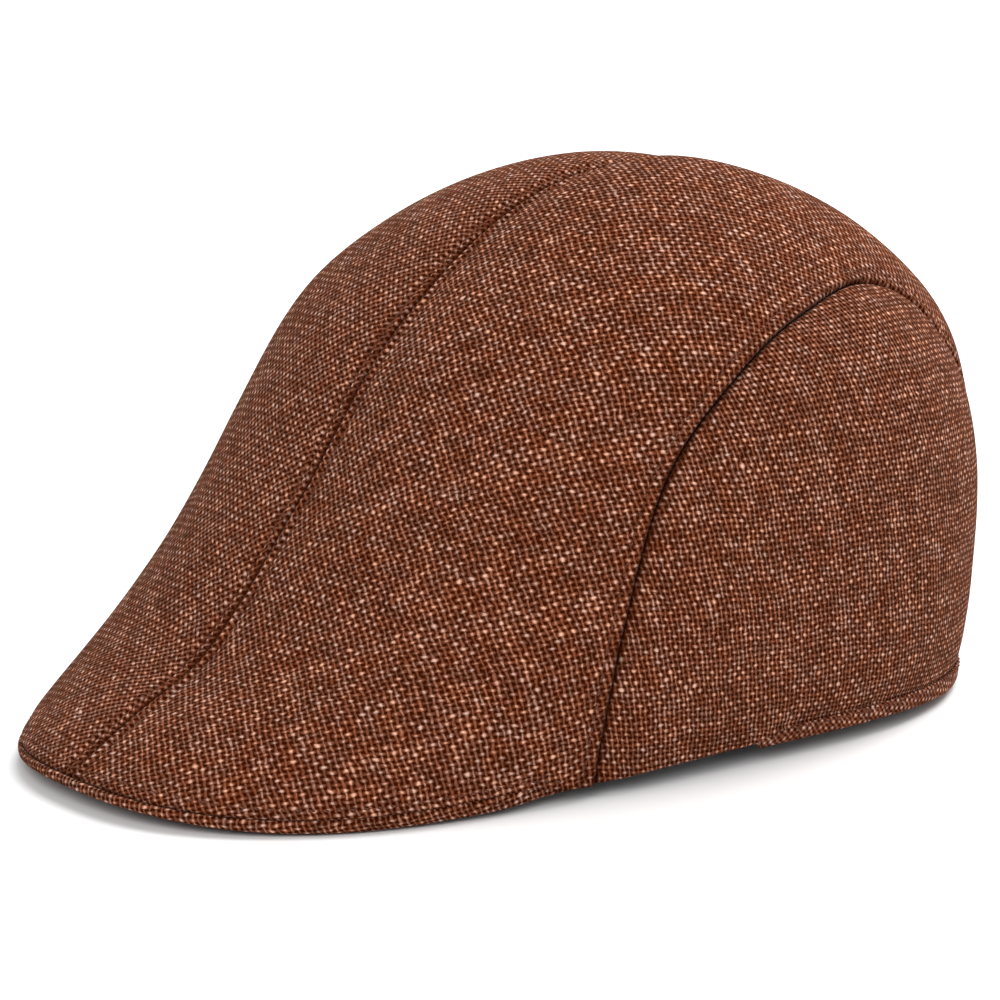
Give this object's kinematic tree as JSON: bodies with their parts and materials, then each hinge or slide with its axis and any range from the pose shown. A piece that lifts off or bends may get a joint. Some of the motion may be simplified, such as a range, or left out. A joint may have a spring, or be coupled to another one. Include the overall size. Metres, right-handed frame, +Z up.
{
  "type": "duckbill flat cap",
  "caption": "Soft woven flat cap with a stiff rolled bill, a centre seam over the crown, curved side panels, a bound hem, a lining and a sweatband.",
  "frame": {"origin": "on the surface the cap stands on, midway along its length and its width", "axes": "+Z up; the bill points to -Y; +X is the wearer's left; the left and right halves mirror across X = 0 apart from the care label"},
  "size_m": [0.1804, 0.2657, 0.1413],
  "materials": {
    "shell_cloth": "open plain weave, matte",
    "under_visor_cloth": "open plain weave, matte",
    "hem_cloth": "folded plain weave, matte",
    "visor_board": "matte moulded sheet",
    "lining": "smooth satin lining",
    "sweatband": "matte twill tape",
    "elastic": "ribbed elastic tape",
    "label": "plain woven tape",
    "thread": "spun sewing thread",
    "inner_thread": "spun sewing thread",
    "label_thread": "spun sewing thread"
  },
  "bodies": {
    "root": {"top_panel_left": "shell_cloth", "top_panel_right": "shell_cloth", "side_panel_left": "shell_cloth", "side_panel_right": "shell_cloth", "under_visor": "under_visor_cloth", "visor_board": "visor_board", "hem_binding": "hem_cloth", "lining_top_left": "lining", "lining_top_right": "lining", "lining_side_left": "lining", "lining_side_right": "lining", "sweatband": "sweatband", "back_elastic": "elastic", "size_label": "label", "care_label": "label", "centre_seam_stitch_left": "thread", "centre_seam_stitch_right": "thread", "side_seam_stitch_left": "thread", "side_seam_stitch_right": "thread", "visor_edge_stitch": "thread", "hem_stitch": "thread", "sweatband_stitch": "inner_thread", "size_label_stitch": "label_thread", "care_label_stitch": "label_thread"}
  },
  "joints": []
}
